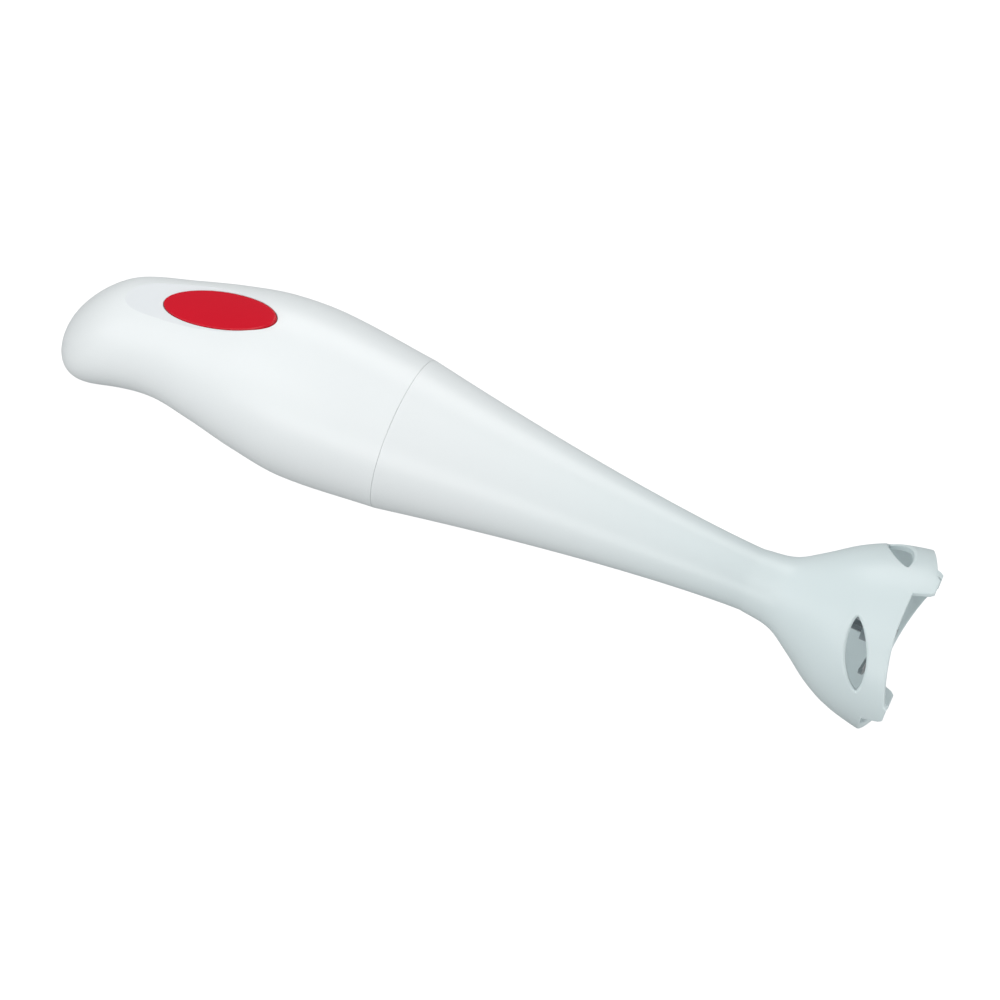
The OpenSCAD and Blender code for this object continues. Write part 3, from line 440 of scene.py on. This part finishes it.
def rounded_end(rings, r):
    """Rounds the seam end of a lofted handle over a small radius."""
    mid = Vector((seam_x, 0, axis_z))
    out = []
    for off, dip in HANDLE_ROUND:
        place = Vector((seam_x - r * off, 0, axis_z))
        out.append([place + (p - mid) * (1 - r * dip / SEAM_R) for p in rings[0]])
    return out + rings


def above(name, w):
    """A block over all that lies higher than w above the button's flat."""
    return slab(name, (-60 * MM, -40 * MM, w), (40 * MM, 40 * MM, w + 40 * MM), at_button)


shell = solid("handle_shell", rounded_end(handle_rings(0, 160, 84, 30, start=SEAM_SOFT), SEAM_SOFT))
cavity = solid("cavity", handle_rings(WALL, 96, 40, 14))
cut(cavity, [above("over_ceiling", CEILING)])
opening = [ellipse(BUTTON_L + 2 * BUTTON_GAP, BUTTON_W + 2 * BUTTON_GAP, h) for h in (WELL, 12 * MM)]
room = [ellipse(BUTTON_L + FLANGE_ROOM, BUTTON_W + FLANGE_ROOM, h) for h in (WELL, CEILING)]
socket = [circle_x(x, SEAM_R - WALL, axis_z, 160) for x in (seam_x - SOCKET_DEEP, seam_x + PAST)]
below = slab("under_heel", (seam_x - 0.2, -0.1, -0.1), (seam_x + 0.01, 0.1, 0))
cut(shell, [above("over_flat", 0), below, cavity, solid("button_opening", opening),
            solid("flange_room", room), solid("seam_socket", socket)])
gland_z = mount["pos_m"][2]
gland_lo, gland_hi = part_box("cord_gland")
seat = [circle_x(x, GLAND_SEAT_R, gland_z) for x in (handle_lo.x - 2 * PAST, gland_hi.x + 4 * PAST)]
cut(shell, [solid("gland_seat", seat)])
me = shell.data
me.materials.clear()
for m in (white, flat_white_painted_shade):
    me.materials.append(m)
smooth(shell, 32)
# faces on the button's flat take the white with painted shade
for f in me.polygons:
    on_flat = abs((f.center - BUTTON_MID).dot(W)) < ON_FLAT and f.normal.dot(W) > 0.999
    f.material_index = 1 if on_flat else 0
# the flat's edge stays crisp right round, even where it meets the handle at a shallow angle
bm = bmesh.new()
bm.from_mesh(me)
for e in bm.edges:
    if {f.material_index for f in e.link_faces} == {0, 1}:
        e.smooth = False
bm.to_mesh(me)
bm.free()
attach(shell, "housing")
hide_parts("handle_housing")

# ---------- button ----------

CROWN, EDGE = 0.3 * MM, 0.55 * MM      # the top's bulge, and the radius of its rounded edge
SHOULDER = BUTTON_PROUD - CROWN
FLANGE_FOOT, FLANGE_TOP = -4.1 * MM, CEILING - 0.1 * MM
STEM_FOOT, STEM_TOP = -11 * MM, -0.6 * MM
EDGE_STEPS, CROWN_STEPS = 6, 13


def button_ring(inset, w):
    return ellipse(BUTTON_L - 2 * inset, BUTTON_W - 2 * inset, w)


rings = [button_ring(-FLANGE, FLANGE_FOOT), button_ring(-FLANGE, FLANGE_TOP), button_ring(0, FLANGE_TOP),
         button_ring(0, SHOULDER - EDGE)]
for i in range(1, EDGE_STEPS + 1):
    a = math.radians(90 * i / EDGE_STEPS)
    rings.append(button_ring(EDGE * (1 - math.cos(a)), SHOULDER - EDGE + EDGE * math.sin(a)))
for i in range(1, CROWN_STEPS):
    s = 1 - i / CROWN_STEPS
    height = SHOULDER + CROWN * (1 - s * s)
    rings.append(ellipse((BUTTON_L - 2 * EDGE) * s, (BUTTON_W - 2 * EDGE) * s, height))
button = solid("button_cap", rings)
cut(button, [solid("button_hollow", [button_ring(CAP_WALL, h) for h in (WELL, BUTTON_PROUD - CAP_WALL)])])
stem = [ellipse(2 * STEM_R, 2 * STEM_R, h, 48, STEM_U) for h in (STEM_FOOT, STEM_TOP)]
cut(button, [solid("button_stem", stem)], "UNION")
coat(button, red, 35)
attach(button, "button")
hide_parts("power_button")

# ---------- stick and bell ----------

# the swirled rim, in degrees round it and in heights off it
LUG_ANGLE, LUG_SIDE, STEP_ANGLE, FLOOR_ANGLE = 10, 2, 4, 20
LUG_H, NOTCH, RAMP_POWER = 1.2 * MM, 7.4 * MM, 1.6
LUG_MID = 95              # elevation of one foot lug's middle above the -Y side
VENT_MID = 35             # and of one vent's middle
VENT_L, VENT_W, VENT_TILT, VENT_BACK = 27 * MM, 8 * MM, 20, 17.4 * MM
ramp_from = LUG_ANGLE / 2 + LUG_SIDE + STEP_ANGLE + FLOOR_ANGLE
ramp_to = 90 - LUG_ANGLE / 2 - LUG_SIDE


def rim_loss(p):
    """Height lost at p degrees past the middle of a foot lug."""
    if p <= LUG_ANGLE / 2 or p >= 90 - LUG_ANGLE / 2:
        return 0.0
    p0 = LUG_ANGLE / 2
    if p < p0 + LUG_SIDE:
        return LUG_H * (p - p0) / LUG_SIDE
    p0 += LUG_SIDE
    if p < p0 + STEP_ANGLE:
        return LUG_H + (NOTCH - LUG_H) * (p - p0) / STEP_ANGLE
    if p < ramp_from:
        return NOTCH
    if p < ramp_to:
        return LUG_H + (NOTCH - LUG_H) * (1 - ((p - ramp_from) / (ramp_to - ramp_from)) ** RAMP_POWER)
    return LUG_H * (1 - (p - ramp_to) / LUG_SIDE)


# places round a quarter of the rim, in degrees past a lug's middle, closer together at the lug and its step
QUARTER = ([0, 1.7, 3.4, 4.6, 5, 5.5, 6.4, 7, 7.5, 8.2, 9, 10, 10.6, 11, 11.6, 13, 15]
           + list(range(17, 82, 2)) + [82, 83, 83.6, 84.4, 85, 85.4, 86.6, 88.3])
PS = [q + 90 * k for k in range(4) for q in QUARTER]


def point(p, d, r):
    """A point at p degrees past the lug, d in front of the seam and r off the drive axis."""
    e = math.radians(LUG_MID - p)
    return Vector((seam_x + d, -r * math.cos(e), axis_z + r * math.sin(e)))


class Skin:
    """Verts and faces of one surface, with welding left to a merge by distance."""

    def __init__(self):
        self.v, self.f = [], []

    def rings(self, rings, closed=True):
        first, n = len(self.v), len(rings[0])
        self.v += [p for r in rings for p in r]
        self.f += grid_faces(len(rings), n, closed, first)


# each quarter's panel round its vent, from behind the vent to just short of the notch
PATCH_FROM, PATCH_TO = shaft_len - VENT_BACK - 11.5 * MM, shaft_len - NOTCH - 1.6 * MM
SEAM_GAP = 0.015 * MM
STICK_ROUND = ((0, 1), (0.07, 0.5), (0.3, 0.16))       # as HANDLE_ROUND, on the stick's side
SPIGOT_LEN, SPIGOT_GAP, SPIGOT_WALL = 12 * MM, 0.3 * MM, 2.3 * MM
BORE_FROM, BORE_MIN_R, TUBE_R, SEAL_FIT = 2 * MM, 8 * MM, 7.05 * MM, 0.05 * MM
SEAL_FROM, BOSS_END, BOSS_R = NECK + 14 * MM, NECK + 22 * MM, 9.5 * MM
CHAMFER, BOSS_SOFT, FILLET = 0.3 * MM, 0.4 * MM, 0.6 * MM
DOME, DOME_LEN = NECK + 19 * MM, 4 * MM
OUTER_STEPS, BORE_STEPS, DOME_STEPS, BELL_STEPS = 96, 30, 7, 10
skin = Skin()


def spin(places):
    return [[point(p, d, r) for p in PS] for d, r in places]


# outside, with a rounded edge at the seam
spigot_r = SEAM_R - WALL - SPIGOT_GAP
soft_end = SEAM_GAP + SEAM_SOFT
places = [(-SPIGOT_LEN, spigot_r), (SEAM_GAP, spigot_r)]
places += [(SEAM_GAP + off * SEAM_SOFT, SEAM_R - dip * SEAM_SOFT) for off, dip in STICK_ROUND]
for i in range(OUTER_STEPS + 1):
    d = soft_end + (PATCH_FROM - soft_end) * i / OUTER_STEPS
    places.append((d, shaft_r(d)))
skin.rings(spin(places))

# inside of the spigot and the stick, down to the bearing tube
bore_r = SEAM_R - WALL - SPIGOT_WALL
seal_seat_r = seal_r + SEAL_FIT
places = [(-SPIGOT_LEN, spigot_r), (-SPIGOT_LEN, bore_r), (BORE_FROM, bore_r)]
for i in range(1, BORE_STEPS + 1):
    d = BORE_FROM + (NECK - 2 * BORE_FROM) * i / BORE_STEPS
    places.append((d, max(shaft_r(d) - WALL, BORE_MIN_R)))
places += [(NECK - BORE_FROM, TUBE_R), (SEAL_FROM, TUBE_R), (SEAL_FROM, seal_seat_r)]
skin.rings(spin(places))

# inside of the bell, round the bearing boss
bell_from = DOME + DOME_LEN
dome_r = shaft_r(bell_from) - WALL
fillet_r = BOSS_R + FILLET
places = [(SEAL_FROM, seal_seat_r), (BOSS_END - CHAMFER, seal_seat_r), (BOSS_END, seal_seat_r + CHAMFER),
          (BOSS_END, BOSS_R - BOSS_SOFT), (BOSS_END - 0.3 * BOSS_SOFT, BOSS_R - 0.3 * BOSS_SOFT),
          (BOSS_END - BOSS_SOFT, BOSS_R), (DOME + FILLET, BOSS_R),
          (DOME + 0.25 * FILLET, BOSS_R + 0.25 * FILLET), (DOME, fillet_r)]
for i in range(1, DOME_STEPS + 1):
    a = math.radians(90 * i / DOME_STEPS)
    places.append((DOME + DOME_LEN * (1 - math.cos(a)), fillet_r + (dome_r - fillet_r) * math.sin(a)))
for i in range(1, BELL_STEPS + 1):
    d = bell_from + (PATCH_FROM - bell_from) * i / BELL_STEPS
    places.append((d, shaft_r(d) - WALL))
skin.rings(spin(places))

# vent panels, outside and inside, and the vents' bevelled walls
VENT_POINT = 1.5          # 1 is an ellipse, 2 is pointed
VENT_POINTS = 480
SPREAD = 1.9              # length over width that the vent is squeezed to while its points are dealt out
VENT_P = LUG_MID - VENT_MID
STEEPEST = 0.999
D_STEPS = 26
SHARES = [0, 0.03, 0.07, 0.13, 0.2, 0.3, 0.4, 0.5, 0.6, 0.7, 0.8, 0.9, 1]
BEVEL, DEEP = 0.9 * MM, 0.7 * MM
BEVEL_MID, DEEP_MID = 0.55, 0.28
middle_r = shaft_r(shaft_len - VENT_BACK)
tilt = math.radians(VENT_TILT)


def lens(n, grow):
    """n points round a vent in its own plane: a lens with softly rounded ends, grown all round."""
    pts = []
    for side in (1, -1):
        for i in range(n // 2):
            a = math.pi * (2 * i / n - 0.5)
            x = side * VENT_W / 2 * max(0, math.cos(a)) ** VENT_POINT
            pts.append((x, side * VENT_L / 2 * math.sin(a)))
    out = []
    for k, (x, y) in enumerate(pts):
        (x0, y0), (x1, y1) = pts[k - 1], pts[(k + 1) % n]
        tx, ty = x1 - x0, y1 - y0
        l = math.hypot(tx, ty)
        out.append((x + grow * ty / l, y - grow * tx / l))
    return out


def panel_border():
    """A panel's border once round, as (degrees past the lug, place along the stick)."""
    ps = [q for q in QUARTER if q >= 15] + [q + 90 for q in QUARTER if q <= 15]
    ds = [PATCH_FROM + (PATCH_TO - PATCH_FROM) * i / D_STEPS for i in range(D_STEPS + 1)]
    loop = [(p, ds[0]) for p in ps[:-1]]
    loop += [(ps[-1], d) for d in ds[:-1]]
    loop += [(p, ds[-1]) for p in reversed(ps[1:])]
    loop += [(ps[0], d) for d in reversed(ds[1:])]
    return loop


border = panel_border()


def direction(x, y):
    """The way from the vent's middle to a point, with the vent squeezed so that its points spread evenly."""
    return math.atan2(y * VENT_W / VENT_L * SPREAD, x)


def vent_edge(grow):
    """For each border point the vent's point in the same direction, both in the vent's own plane."""
    hole = [(direction(x, y), (x, y)) for x, y in lens(VENT_POINTS, grow)]
    edge = []
    for p, d in border:
        a, s = d - (shaft_len - VENT_BACK), math.radians(p - VENT_P) * middle_r
        way = direction(a * math.cos(tilt) - s * math.sin(tilt), a * math.sin(tilt) + s * math.cos(tilt))
        edge.append(min(hole, key=lambda h: abs(math.remainder(h[0] - way, 2 * math.pi)))[1])
    return edge


def panel_rings(k, inset, edge, shares):
    """Rings over quarter k of the bell, each a share of the way from the vent's edge to the border."""
    rings = []
    for share in shares:
        ring = []
        for (x, y), (p, d) in zip(edge, border):
            along = x * math.cos(tilt) + y * math.sin(tilt)
            across = -x * math.sin(tilt) + y * math.cos(tilt)
            edge_d = shaft_len - VENT_BACK + along
            sine = max(-STEEPEST, min(STEEPEST, across / (shaft_r(edge_d) - inset)))
            edge_p = VENT_P + 90 * k + math.degrees(math.asin(sine))
            here_d = edge_d + (d - edge_d) * share
            here_p = edge_p + (p + 90 * k - edge_p) * share
            ring.append(point(here_p, here_d, shaft_r(here_d) - inset))
        rings.append(ring)
    return rings


wide, half, narrow = vent_edge(BEVEL), vent_edge(BEVEL * BEVEL_MID), vent_edge(0)
for k in range(4):
    outside = panel_rings(k, 0, wide, SHARES)
    bevel = panel_rings(k, DEEP, narrow, [0]) + panel_rings(k, DEEP * DEEP_MID, half, [0])
    inside = panel_rings(k, WALL, narrow, SHARES)
    skin.rings([r + [r[0]] for r in bevel + outside], closed=False)
    skin.rings([r + [r[0]] for r in inside[::-1] + bevel[:1]], closed=False)

# rim, from the panels to the swirled edge and back inside
RIM_SOFT = 0.55 * MM
RIM_SHARES = [0, 0.2, 0.4, 0.6, 0.8, 1]


def rim_row(share, inset):
    """A row over the rim's face, a share of the way from the panels to the rounded edge."""
    row = []
    for p in PS:
        end = shaft_len - rim_loss(p % 90) - RIM_SOFT
        d = PATCH_TO + (end - PATCH_TO) * share
        row.append(point(p, d, shaft_r(min(d, shaft_len)) - inset))
    return row


def rim_edge(turn, inset, side):
    """A row of the rounded edge, turn degrees over it from the face at inset."""
    back, dip = RIM_SOFT * (1 - math.sin(math.radians(turn))), RIM_SOFT * (1 - math.cos(math.radians(turn)))
    ends = [(p, shaft_len - rim_loss(p % 90)) for p in PS]
    return [point(p, end - back, shaft_r(end) - inset + side * dip) for p, end in ends]


rows = [rim_row(s, 0) for s in RIM_SHARES]
rows += [rim_edge(turn, 0, -1) for turn in (30, 60, 90)]
rows += [rim_edge(turn, WALL, 1) for turn in (90, 60, 30, 0)]
rows += [rim_row(s, WALL) for s in reversed(RIM_SHARES[:-1])]
skin.rings(rows)

WELD, DISSOLVE = 0.004 * MM, 0.002 * MM
stick = piece("stick_shell", skin.v, skin.f, stick_white_painted_shade, 38)
bm = bmesh.new()
bm.from_mesh(stick.data)
bmesh.ops.remove_doubles(bm, verts=bm.verts, dist=WELD)
bmesh.ops.dissolve_degenerate(bm, dist=DISSOLVE, edges=bm.edges)
bmesh.ops.recalc_face_normals(bm, faces=bm.faces)
bm.to_mesh(stick.data)
bm.free()
smooth(stick, 38)
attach(stick, "housing")
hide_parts("shaft_housing")

# ---------- gland ----------

GLAND_SOFT, GLAND_FIT = 0.5 * MM, 0.05 * MM
GLAND_FLANGE_T, GLAND_FLANGE_R = 1.8 * MM, 8.6 * MM
hole_r = mount["dims"]["r_mm"] * MM
sleeve_r = GLAND_SEAT_R - GLAND_FIT
x0, x1 = gland_lo.x, gland_hi.x
flange_x = x1 - GLAND_FLANGE_T
profile = [(x1, hole_r), (x0 + GLAND_SOFT, hole_r), (x0 + 0.14 * GLAND_SOFT, hole_r + 0.3 * GLAND_SOFT),
           (x0, hole_r + GLAND_SOFT), (x0, sleeve_r - GLAND_SOFT),
           (x0 + 0.3 * GLAND_SOFT, sleeve_r - 0.3 * GLAND_SOFT), (x0 + GLAND_SOFT, sleeve_r),
           (flange_x, sleeve_r), (flange_x, GLAND_FLANGE_R), (x1, GLAND_FLANGE_R)]
gland = lathe("gland_sleeve", profile, gland_z, "housing", rubber)
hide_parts("cord_gland")

# ---------- blade ----------

BLADE_T, BLADE_HALF_W, TIP = 1.4 * MM, 5 * MM, 24 * MM
BEND_AT, BEND_SOFT = 8 * MM, 1.5 * MM
BLADE_UP, BLADE_DOWN = math.radians(8), math.radians(10)
BLADE_TURN = math.radians(75)
GRIND, GRIND_RUN, GRIND_MOST, EDGE_T = 2.4 * MM, 3 * MM, 0.45, 0.15 * MM
THROUGH = 10 * MM
drive_lo, drive_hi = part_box("drive_shaft")
drive_r = (drive_hi.y - drive_lo.y) / 2
hub_lo, hub_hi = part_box("blade_hub")
nut_lo, nut_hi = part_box("blade_nut")
blade_x = hub_hi.x + BLADE_T / 2
# across the wing at each place along it, in millimetres: place past the tip, low edge, high edge
WING = ((-6.4, -5, 5), (-5.4, -4.75, 5), (-4.4, -4.45, 4.95), (-3.4, -4.05, 4.45), (-2.4, -3.5, 3.75),
        (-1.5, -2.8, 2.95), (-0.8, -2.05, 2.1), (-0.35, -1.45, 1.1), (-0.05, -0.95, -0.4))


def bent(x, rise):
    """How far a wing has bent away from the blade's plane at x, with the bend spread over a small arc."""
    t = abs(x) - BEND_AT
    if t < -BEND_SOFT:
        return 0
    if t > BEND_SOFT:
        return t * math.tan(rise)
    return (t + BEND_SOFT) ** 2 / (4 * BEND_SOFT) * math.tan(rise)


def blade_point(x, y, z):
    """A point along, across and in front of the blade, turned about the drive axis."""
    c, s = math.cos(BLADE_TURN), math.sin(BLADE_TURN)
    return Vector((blade_x + z, x * s + y * c, axis_z - (x * c - y * s)))


def blade_section(x, low, high):
    """One cross-section of the strip; a wing's leading edge is ground thin on the face toward the stick."""
    lift = bent(x, BLADE_DOWN) if x > 0 else -bent(x, BLADE_UP)
    share = min(1, max(0, (abs(x) - BEND_AT) / GRIND_RUN))
    ground_low, ground_high = (share, 0) if x > 0 else (0, share)
    half = BLADE_T / 2
    width = min(GRIND, (high - low) * GRIND_MOST)
    pts = [(low, -half + (BLADE_T - EDGE_T) * ground_low), (low + max(EDGE_T, width * ground_low), -half),
           (high - max(EDGE_T, width * ground_high), -half), (high, -half + (BLADE_T - EDGE_T) * ground_high),
           (high, half), (low, half)]
    return [blade_point(x, y, z + lift) for y, z in pts]


wing = [(TIP + a * MM, lo * MM, hi * MM) for a, lo, hi in WING]
MIDDLE_STEPS = 36
middle = [(wing[0][0] * (2 * i / MIDDLE_STEPS - 1), -BLADE_HALF_W, BLADE_HALF_W)
          for i in range(1, MIDDLE_STEPS)]
strip = [(-x, -hi, -lo) for x, lo, hi in reversed(wing)] + middle + wing
blade = solid("blade_plate", [blade_section(*p) for p in strip])
hole = [circle_x(x, drive_r, axis_z, 64) for x in (blade_x - THROUGH, blade_x + THROUGH)]
cut(blade, [solid("blade_hole", hole)])
coat(blade, blade_metal, 25)
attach(blade, "rotor")
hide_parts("blade")

HUB_SOFT = 0.5 * MM
hub_r = (hub_hi.y - hub_lo.y) / 2
profile = [(hub_lo.x, drive_r), (hub_lo.x, hub_r - HUB_SOFT),
           (hub_lo.x + 0.3 * HUB_SOFT, hub_r - 0.3 * HUB_SOFT),
           (hub_lo.x + HUB_SOFT, hub_r), (hub_hi.x - HUB_SOFT, hub_r), (hub_hi.x, hub_r - HUB_SOFT),
           (hub_hi.x, drive_r)]
hub = lathe("hub_sleeve", profile, axis_z, "rotor", plated, 72)
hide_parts("blade_hub")

NUT_CHAMFER = 0.5 * MM
nut_r = (nut_hi.z - nut_lo.z) / 2
flat_r = nut_r * 0.88
# a cone that leaves the nut whole up to its chamfer and takes its corners off at the end
cone = ((nut_lo.x - PAST, nut_r * 1.2), (nut_hi.x - NUT_CHAMFER, nut_r * 1.03),
        (nut_hi.x + PAST, flat_r - 1 * MM))
nut = solid("blade_nut_hex", [circle_x(x, nut_r, axis_z, 6) for x in (nut_lo.x, nut_hi.x)])
cut(nut, [solid("nut_cone", [circle_x(x, r, axis_z, 96) for x, r in cone])], "INTERSECT")
hole = [circle_x(x, drive_r, axis_z, 64) for x in (nut_lo.x - THROUGH, nut_hi.x + THROUGH)]
cut(nut, [solid("nut_hole", hole)])
coat(nut, plated, 25)
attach(nut, "rotor")
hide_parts("blade_nut")

# ---------- floor, light and camera ----------

FLOOR_HALF = 4
floor_m = shader("floor", (0.1, 0.1, 0.1), 0.9, Emission_Color=(1, 1, 1, 1), Emission_Strength=1.0)[0]
corners = [(x * FLOOR_HALF, y * FLOOR_HALF, 0) for x, y in ((-1, -1), (1, -1), (1, 1), (-1, 1))]
fm = bpy.data.meshes.new("floor")
fm.from_pydata(corners, [], [(0, 1, 2, 3)])
fm.materials.append(floor_m)
floor = bpy.data.objects.new("floor", fm)
bpy.context.scene.collection.objects.link(floor)
# the floor is seen as white, but throws no light back up onto the blender
floor.visible_diffuse = False
floor.visible_glossy = False

world = bpy.data.worlds.new("studio")
bpy.context.scene.world = world
world.use_nodes = True
sky = world.node_tree.nodes["Background"]
sky.inputs["Color"].default_value = (0.94, 0.99, 1, 1)
sky.inputs["Strength"].default_value = 0.3

WARM = (1, 0.99, 0.98)
AIM = (-0.05, 0, 0.03)
MOUTH_AIM = (0.17, 0, 0.036)
# name, place, aim, size and watts of each soft light
LIGHTS = (("key", (-0.35, -0.6, 0.8), AIM, (0.8, 0.6), 2.9),
          ("tail", (-0.8, -0.5, 0.35), AIM, (0.8, 0.5), 1.7),
          ("low", (-0.1, -0.9, 0.25), AIM, (0.8, 0.4), 2.8),
          ("far", (-0.15, 0.6, 0.6), AIM, (0.8, 0.5), 3.5),
          ("top", (-0.2, 0, 1.0), AIM, (0.8, 0.8), 1.3),
          ("mouth", (0.75, -0.05, 0.2), MOUTH_AIM, (0.4, 0.3), 2.0))


def softbox(name, place, aim, size, power):
    l = bpy.data.lights.new(name, "AREA")
    l.shape, l.size, l.size_y = "RECTANGLE", size[0], size[1]
    l.energy, l.color = power, WARM
    ob = bpy.data.objects.new(name, l)
    ob.location = place
    ob.rotation_euler = (Vector(aim) - Vector(place)).to_track_quat("-Z", "Y").to_euler()
    bpy.context.scene.collection.objects.link(ob)


for light in LIGHTS:
    softbox(*light)

# the camera's place round the target, its roll, and half the width that it sees per metre of distance
AZIMUTH, ELEVATION, ROLL = math.radians(16.74), math.radians(53.75), math.radians(9.17)
DISTANCE, HALF_WIDTH = 1.0, 0.19163
TARGET = Vector((11.08 * MM, 0, 20.17 * MM))
level = math.cos(ELEVATION)
back = Vector((math.sin(AZIMUTH) * level, -math.cos(AZIMUTH) * level, math.sin(ELEVATION)))
right = Vector((math.cos(AZIMUTH), math.sin(AZIMUTH), 0))
up = back.cross(right)
rolled_right = right * math.cos(ROLL) + up * math.sin(ROLL)
rolled_up = up * math.cos(ROLL) - right * math.sin(ROLL)
turned = Matrix((rolled_right, rolled_up, back)).transposed().to_4x4()
cam_data = bpy.data.cameras.new("camera")
cam_data.sensor_fit = "HORIZONTAL"
cam_data.angle = 2 * math.atan(HALF_WIDTH)
cam = bpy.data.objects.new("camera", cam_data)
cam.matrix_world = Matrix.Translation(TARGET + back * DISTANCE) @ turned
bpy.context.scene.collection.objects.link(cam)
bpy.context.scene.camera = cam
bpy.context.scene.view_settings.view_transform = "Standard"
